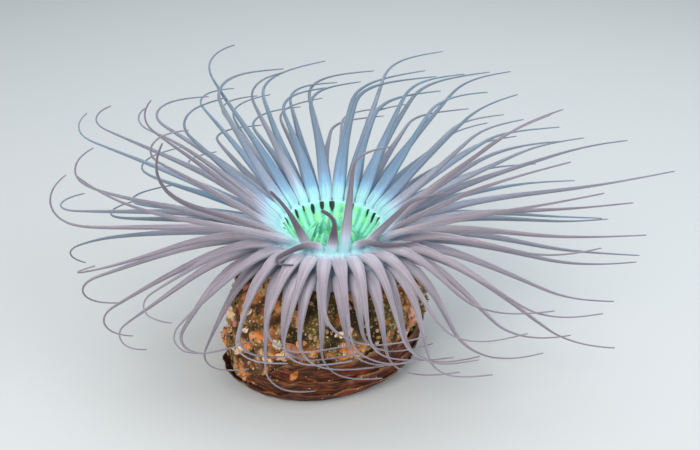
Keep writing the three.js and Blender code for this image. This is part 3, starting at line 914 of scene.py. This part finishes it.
# The felt tube: a lumpy mound, wrapped round its foot by layers of old felt.
mound = {
    "sides": 128, "rings": 36, "top": 54.6, "inset": 3.0, "tallest": 2.8,
    "lump": 3.0, "lumpSize": 13, "knob": 2.2, "knobSize": 5.4, "pit": 0.7, "pitSize": 2.2,
    "ragged": 0.9,  # unevenness of the lip and the bore
}
lipTop = tube["height"] - 0.4
boreProfile = [(24.2, lipTop), (22.2, lipTop), (tube["boreMouth"], 53.5), (19.4, 28)]
boreProfile += [(tube["boreFoot"], tube["boreFloor"])]
# a wrap shows between two bearings, in degrees; elsewhere it dips under the sand and the growth
wraps = {
    "sides": 144, "thick": 0.8, "flare": 1.6, "sink": 3.4, "fadeOver": 30,
    "layers": [
        {"offset": -1.3, "height": 7.6, "swing": 1.6, "ragged": 1.6, "from": -172, "to": 42, "rows": 6},
        {"offset": -1.8, "height": 14.5, "swing": 2.2, "ragged": 2.4, "from": -132, "to": 30, "rows": 9},
        {"offset": -2.4, "height": 25.0, "swing": 3.0, "ragged": 3.4, "from": -118, "to": 16, "rows": 13},
    ],
}


def lumps(bearing, z):
    x, y = 50 * math.cos(bearing), 50 * math.sin(bearing)
    big = noise.noise(Vector((x, y, z)) / mound["lumpSize"])
    small = noise.noise(Vector((x + 90, y, z)) / mound["knobSize"])
    fine = noise.noise(Vector((x, y + 90, z)) / mound["pitSize"])
    return mound["lump"] * big + mound["knob"] * small + mound["pit"] * fine


# A point on the mound's surface, raised off it by stand.
def moundPoint(bearing, z, stand=0):
    lump = min(mound["tallest"], lumps(bearing, z)) * smooth(0, 5, z)
    point = around(bearing, tubeRadius(z, bearing) - mound["inset"] + lump + stand, z)
    point[0] += tubeCentre(z)
    return point


# A ring shaped by placeOf, which gives a point and the layer's value at a bearing.
def shapedRing(bm, bearings, layer, placeOf):
    ring = bmesh.ops.create_circle(bm, segments=len(bearings), radius=1)["verts"]
    for vert, bearing in zip(ring, bearings):
        vert.co, vert[layer] = placeOf(bearing)
    return ring


def buildMound():
    bm = bmesh.new()
    layer = bm.verts.layers.float.new("hill")
    bearings = evenBearings(mound["sides"])
    rings = []
    for k in range(mound["rings"]):
        z = mound["top"] * k / (mound["rings"] - 1)

        def outside(bearing, z=z):
            hill = 0.5 + lumps(bearing, z) / (2 * mound["tallest"])
            return moundPoint(bearing, z), min(1, max(0, hill))
        rings.append(shapedRing(bm, bearings, layer, outside))
    for radius, z in boreProfile:

        def inside(bearing, radius=radius, z=z):
            spot = around(bearing, 8, z / 9)
            ragged = mound["ragged"] * noise.noise(Vector(spot))
            point = around(bearing, radius + ragged, z + (ragged if z > mound["top"] else 0))
            point[0] += tubeCentre(z)
            return point, 0.4
        rings.append(shapedRing(bm, bearings, layer, inside))
    joinRings(bm, rings)
    piece = finishMesh(bm, "tube_mound", crustMaterial())
    subdivide(piece)
    return piece


def wrapShare(wrap, bearing):
    middle = math.radians(wrap["from"] + wrap["to"]) / 2
    half = (wrap["to"] - wrap["from"]) / 2
    turn = abs((math.degrees(bearing - middle) + 180) % 360 - 180)
    return 1 - smooth(half - wraps["fadeOver"] / 2, half + wraps["fadeOver"] / 2, turn)


# How high a wrap's free edge stands at a bearing.
def wrapHeight(wrap, bearing):
    x, y = math.cos(bearing), math.sin(bearing)
    wave = noise.noise(Vector((4 * x, 4 * y, wrap["height"])))
    ragged = noise.noise(Vector((17 * x, 17 * y, wrap["height"])))
    fray = noise.noise(Vector((70 * x, 70 * y, wrap["height"])))
    edge = wrap["height"] + wrap["swing"] * math.cos(bearing + 1.1)
    edge += wrap["ragged"] * (wave + 0.45 * ragged) + 0.7 * fray
    return edge * (0.4 + 0.6 * wrapShare(wrap, bearing))


# Height below which wraps hide the mound at a bearing.
def wrappedTo(bearing):
    shown = [wrapHeight(wrap, bearing) for wrap in wraps["layers"] if wrapShare(wrap, bearing) > 0.5]
    return max(shown, default=0)


# A point of a wrap, with folds that run along it and a free edge that stands off.
def wrapPoint(wrap, bearing, share):
    x, y = math.cos(bearing), math.sin(bearing)
    z = share * wrapHeight(wrap, bearing)
    sag = noise.noise(Vector((15 * x, 15 * y, z / 7 + wrap["height"])))
    fold = noise.noise(Vector((7 * x, 7 * y, z / 0.9 + wrap["height"])))
    free = smooth(0.55, 1, share) * (0.5 + 0.9 * noise.noise(Vector((11 * x, 11 * y, wrap["height"]))))
    stand = wrap["offset"] + (0.9 * sag + 0.7 * fold) * smooth(0, 0.3, share) + wraps["flare"] * free
    stand -= wraps["sink"] * (1 - wrapShare(wrap, bearing))
    point = around(bearing, tubeRadius(z, bearing) + stand, z)
    point[0] += tubeCentre(z)
    return point


def buildWraps():
    bm = bmesh.new()
    layer = bm.verts.layers.float.new("row")
    bearings = evenBearings(wraps["sides"])
    for wrap in wraps["layers"]:
        rings = []
        for row in range(wrap["rows"] + 1):

            def placeOf(bearing, wrap=wrap, share=row / wrap["rows"]):
                return wrapPoint(wrap, bearing, share), share
            rings.append(shapedRing(bm, bearings, layer, placeOf))
        joinRings(bm, rings, closed=False)
    bmesh.ops.recalc_face_normals(bm, faces=bm.faces)
    bmesh.ops.solidify(bm, geom=bm.faces[:], thickness=-wraps["thick"])
    for vert in bm.verts:
        vert.co.z = max(0.1, vert.co.z)
    piece = finishMesh(bm, "tube_wraps", wrapMaterial())
    subdivide(piece)
    return piece


# What the tube is built of and grown over with.
grains = {"count": 1150, "smallest": 0.35, "largest": 1.6, "sink": 0.2, "seed": 5}
flakes = {"count": 150, "smallest": 1.3, "largest": 3.2, "thick": 0.45, "stand": 0.5, "seed": 9}
tufts = {"count": 150, "blades": 5, "smallest": 1.0, "largest": 2.3, "lowest": 18, "seed": 14}
crusts = {"count": 88, "smallest": 1.8, "largest": 5.0, "thick": 0.36, "lowest": 6, "seed": 23}


# Places on the open mound, each with its outward direction and the chooser that found it.
def scattered(kind, lowest=1.5, highest=54):
    chooser = random.Random(kind["seed"])
    spots = []
    while len(spots) < kind["count"]:
        bearing = chooser.uniform(0, 2 * math.pi)
        z = lowest + (highest - lowest) * chooser.random() ** 0.85
        if z < wrappedTo(bearing) + 0.6 and chooser.random() > 0.1:
            continue
        point = moundPoint(bearing, z)
        ahead = moundPoint(bearing + 0.02, z) - point
        above = moundPoint(bearing, z + 0.8) - point
        spots.append((point, unit(np.cross(ahead, above)), chooser))
    return spots


def turnedTo(normal, spin):
    return Vector(normal).to_track_quat("Z", "Y").to_matrix().to_4x4() @ Matrix.Rotation(spin, 4, "Z")


def leant(chooser, most):
    leanOver = Matrix.Rotation(chooser.uniform(-most, most), 4, "X")
    return leanOver @ Matrix.Rotation(chooser.uniform(-most, most), 4, "Y")


# One piece of many small things. grow makes one of them at a spot and gives its vertices.
def buildMany(name, material, spots, grow):
    bm = bmesh.new()
    layer = bm.verts.layers.float.new("tint")
    for point, normal, chooser in spots:
        verts = grow(bm, point, normal, chooser)
        tint = chooser.random()
        for vert in verts:
            vert[layer] = tint
    return finishMesh(bm, name, material)


def growGrain(bm, point, normal, chooser):
    size = grains["smallest"] + (grains["largest"] - grains["smallest"]) * chooser.random() ** 2.6
    shape = Matrix.Diagonal((size, size * chooser.uniform(0.6, 1), size * chooser.uniform(0.5, 0.9), 1))
    spot = Matrix.Translation(point + normal * size * grains["sink"])
    turn = turnedTo(normal, chooser.uniform(0, math.tau)) @ leant(chooser, 0.5)
    return bmesh.ops.create_icosphere(bm, subdivisions=1, radius=1, matrix=spot @ turn @ shape)["verts"]


def growFlake(bm, point, normal, chooser):
    size = chooser.uniform(flakes["smallest"], flakes["largest"])
    shape = Matrix.Diagonal((size, size * chooser.uniform(0.45, 0.9), 1, 1))
    turn = turnedTo(normal, chooser.uniform(0, math.tau)) @ leant(chooser, 0.6)
    place = Matrix.Translation(point + normal * flakes["stand"]) @ turn @ shape
    verts = bmesh.ops.create_circle(bm, segments=7, radius=1, cap_ends=True, matrix=place)["verts"]
    raised = bmesh.ops.extrude_face_region(bm, geom=[verts[0].link_faces[0]])["geom"]
    lifted = [item for item in raised if isinstance(item, bmesh.types.BMVert)]
    bmesh.ops.translate(bm, verts=lifted, vec=Vector(normal) * flakes["thick"])
    bmesh.ops.scale(bm, vec=(0.8, 0.8, 0.8), verts=lifted, space=Matrix.Translation(-Vector(point)))
    return verts + lifted


def growBlade(bm, point, normal, chooser):
    size = chooser.uniform(tufts["smallest"], tufts["largest"])
    lifted = Matrix.Translation((0, 0, size * 0.5))
    place = Matrix.Translation(point) @ turnedTo(normal, 0) @ leant(chooser, 0.9) @ lifted
    return bmesh.ops.create_cone(
        bm, cap_ends=True, segments=5, radius1=size * 0.24, radius2=size * 0.09,
        depth=size * 1.2, matrix=place)["verts"]


def growCrust(bm, point, normal, chooser):
    size = crusts["smallest"] + (crusts["largest"] - crusts["smallest"]) * chooser.random() ** 1.8
    shape = Matrix.Diagonal((size, size * chooser.uniform(0.5, 0.9), size * crusts["thick"], 1))
    place = Matrix.Translation(point) @ turnedTo(normal, chooser.uniform(0, math.tau)) @ shape
    verts = bmesh.ops.create_icosphere(bm, subdivisions=3, radius=1, matrix=place)["verts"]
    for vert in verts:
        vert.co += Vector(normal) * 0.8 * noise.noise(vert.co / 1.6)
        vert.co += (vert.co - Vector(point)) * 0.45 * noise.noise(vert.co / 2.6)
        vert.co.z = max(0.1, vert.co.z)
    return verts


# Old felt and sand: patches of orange, cream, olive and brown, with painted shade in the hollows and on the
# olive patches of the right side.
def crustMaterial():
    material, tree, shader, place = newMaterial("tube_crust")
    x = splitPlace(tree, place)[0]
    patches = noised(tree, place, 46.0, 3.0, 0.6, 0.8)
    colour = ramped(tree, patches, [
        (0.30, (56, 48, 20)), (0.42, (116, 92, 36)), (0.50, (164, 94, 44)),
        (0.58, (218, 128, 66)), (0.66, (232, 184, 120)), (0.76, (154, 82, 44)),
    ])
    blotches = noised(tree, place, 210.0, 4.0, 0.65)
    colour = mixed(tree, stretched(tree, blotches, 0.5, 0.68), colour, (70, 58, 30))
    colour = mixed(tree, stretched(tree, blotches, 0.46, 0.3, 0.0, 0.8), colour, (232, 186, 132))
    olive = stretched(tree, noised(tree, place, 75.0, 2.0, 0.5), 0.44, 0.6, 0.0, 0.85)
    # olive growth on the right side, in dark tones that also paint shade on that side
    rightShadeOlive = times(tree, stretched(tree, x, -0.03, 0.02), olive)
    colour = mixed(tree, rightShadeOlive, colour, mixed(tree, blotches, (50, 50, 24), (106, 104, 52)))
    colour, coarse = strewn(tree, place, 560.0, 0.4, colour, 1.0)
    colour, fine = strewn(tree, place, 1500.0, 0.3, colour, 0.7)
    # painted shade in the hollows between the lumps
    hollowShade = stretched(tree, attributeOf(tree, "hill"), 0.52, 0.3, 0.0, 0.85)
    colour = mixed(tree, hollowShade, colour, (34, 26, 16))
    shader.inputs["Specular IOR Level"].default_value = 0.25
    height = plus(tree, coarse, times(tree, blotches, 2.0))
    height = plus(tree, height, times(tree, fine, 0.4))
    dress(tree, shader, colour, 0.88, height, 0.8, 0.0012)
    return material


# The outer felt: dark red brown, streaked along its length, with sand caught at the free edge.
def wrapMaterial():
    material, tree, shader, place = newMaterial("tube_felt")
    fibres = noised(tree, stretchedPlace(tree, place, (1, 1, 7)), 120.0, 5.0, 0.65, 0.6)
    patches = noised(tree, stretchedPlace(tree, place, (1, 1, 2.2)), 60.0, 3.0, 0.6)
    colour = ramped(tree, fibres, [
        (0.32, (24, 11, 6)), (0.46, (64, 31, 16)),
        (0.56, (106, 52, 26)), (0.7, (158, 94, 54)),
    ])
    colour = mixed(tree, stretched(tree, patches, 0.52, 0.64, 0.0, 0.8), colour, (142, 52, 26))
    colour = mixed(tree, stretched(tree, patches, 0.44, 0.3, 0.0, 0.75), colour, (54, 42, 20))
    edge = stretched(tree, attributeOf(tree, "row"), 0.86, 1.0)
    caught = times(tree, edge, stretched(tree, patches, 0.42, 0.6, 0.0, 0.7))
    colour = mixed(tree, caught, colour, (150, 116, 80))
    colour, specks = strewn(tree, place, 640.0, 0.06, colour, 0.6)
    shader.inputs["Specular IOR Level"].default_value = 0.25
    height = plus(tree, times(tree, fibres, 2.4), specks)
    dress(tree, shader, colour, 0.72, height, 0.8, 0.0012)
    return material


# Sand and shell. Each grain and flake has its own tint.
def grainMaterial():
    material, tree, shader, place = newMaterial("shell_grains")
    colour = ramped(tree, attributeOf(tree, "tint"), [
        (0.0, (214, 188, 146)), (0.2, (184, 132, 82)), (0.34, (232, 216, 188)),
        (0.46, (172, 94, 56)), (0.64, (196, 160, 104)), (0.82, (112, 88, 54)),
        (1.0, (214, 148, 110)),
    ])
    stain = noised(tree, place, 900.0, 3.0, 0.6)
    colour = mixed(tree, stretched(tree, stain, 0.44, 0.6, 0.0, 0.75), colour, (98, 74, 44))
    dress(tree, shader, colour, 0.7, stain, 0.4, 0.0004)
    return material


def tuftMaterial():
    material, tree, shader, place = newMaterial("algae_tufts")
    colour = ramped(tree, attributeOf(tree, "tint"), [
        (0.0, (50, 56, 22)), (0.4, (94, 98, 42)), (0.75, (134, 126, 62)), (1.0, (76, 50, 30)),
    ])
    shade = noised(tree, place, 700.0, 2.0, 0.5)
    colour = mixed(tree, stretched(tree, shade, 0.4, 0.65, 0.0, 0.5), colour, (40, 44, 20))
    dress(tree, shader, colour, 0.8, shade, 0.5, 0.0005)
    return material


# Thin sponge and coral crusts: orange, rust, pinkish and cream, with small pores.
def crustPatchMaterial():
    material, tree, shader, place = newMaterial("sponge_patches")
    colour = ramped(tree, attributeOf(tree, "tint"), [
        (0.0, (214, 124, 70)), (0.25, (232, 168, 112)), (0.45, (168, 82, 46)),
        (0.65, (236, 204, 160)), (0.85, (214, 132, 112)), (1.0, (120, 96, 52)),
    ])
    pores = tree.nodes.new("ShaderNodeTexVoronoi")
    plug(tree, pores.inputs["Vector"], place)
    pores.inputs["Scale"].default_value = 950.0
    pits = stretched(tree, pores.outputs["Distance"], 0.0, 0.5)
    colour = mixed(tree, stretched(tree, pits, 0.5, 0.1, 0.0, 0.75), colour, (110, 52, 34))
    dirt = noised(tree, place, 300.0, 3.0, 0.6)
    colour = mixed(tree, stretched(tree, dirt, 0.5, 0.62, 0.0, 0.85), colour, (78, 62, 34))
    dress(tree, shader, colour, 0.8, plus(tree, pits, dirt), 0.6, 0.0007)
    return material


shell = grainMaterial()
blades = [spot for spot in scattered(tufts, tufts["lowest"]) for _ in range(tufts["blades"])]
tubePieces = [
    buildMound(), buildWraps(),
    buildMany("tube_grains", shell, scattered(grains), growGrain),
    buildMany("tube_flakes", shell, scattered(flakes), growFlake),
    buildMany("tube_tufts", tuftMaterial(), blades, growBlade),
    buildMany("tube_crusts", crustPatchMaterial(), scattered(crusts, crusts["lowest"]), growCrust),
]
for piece in tubePieces:
    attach(piece, "root")
    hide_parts("tube")
    print(piece.name, "built:", len(piece.data.polygons), "faces")
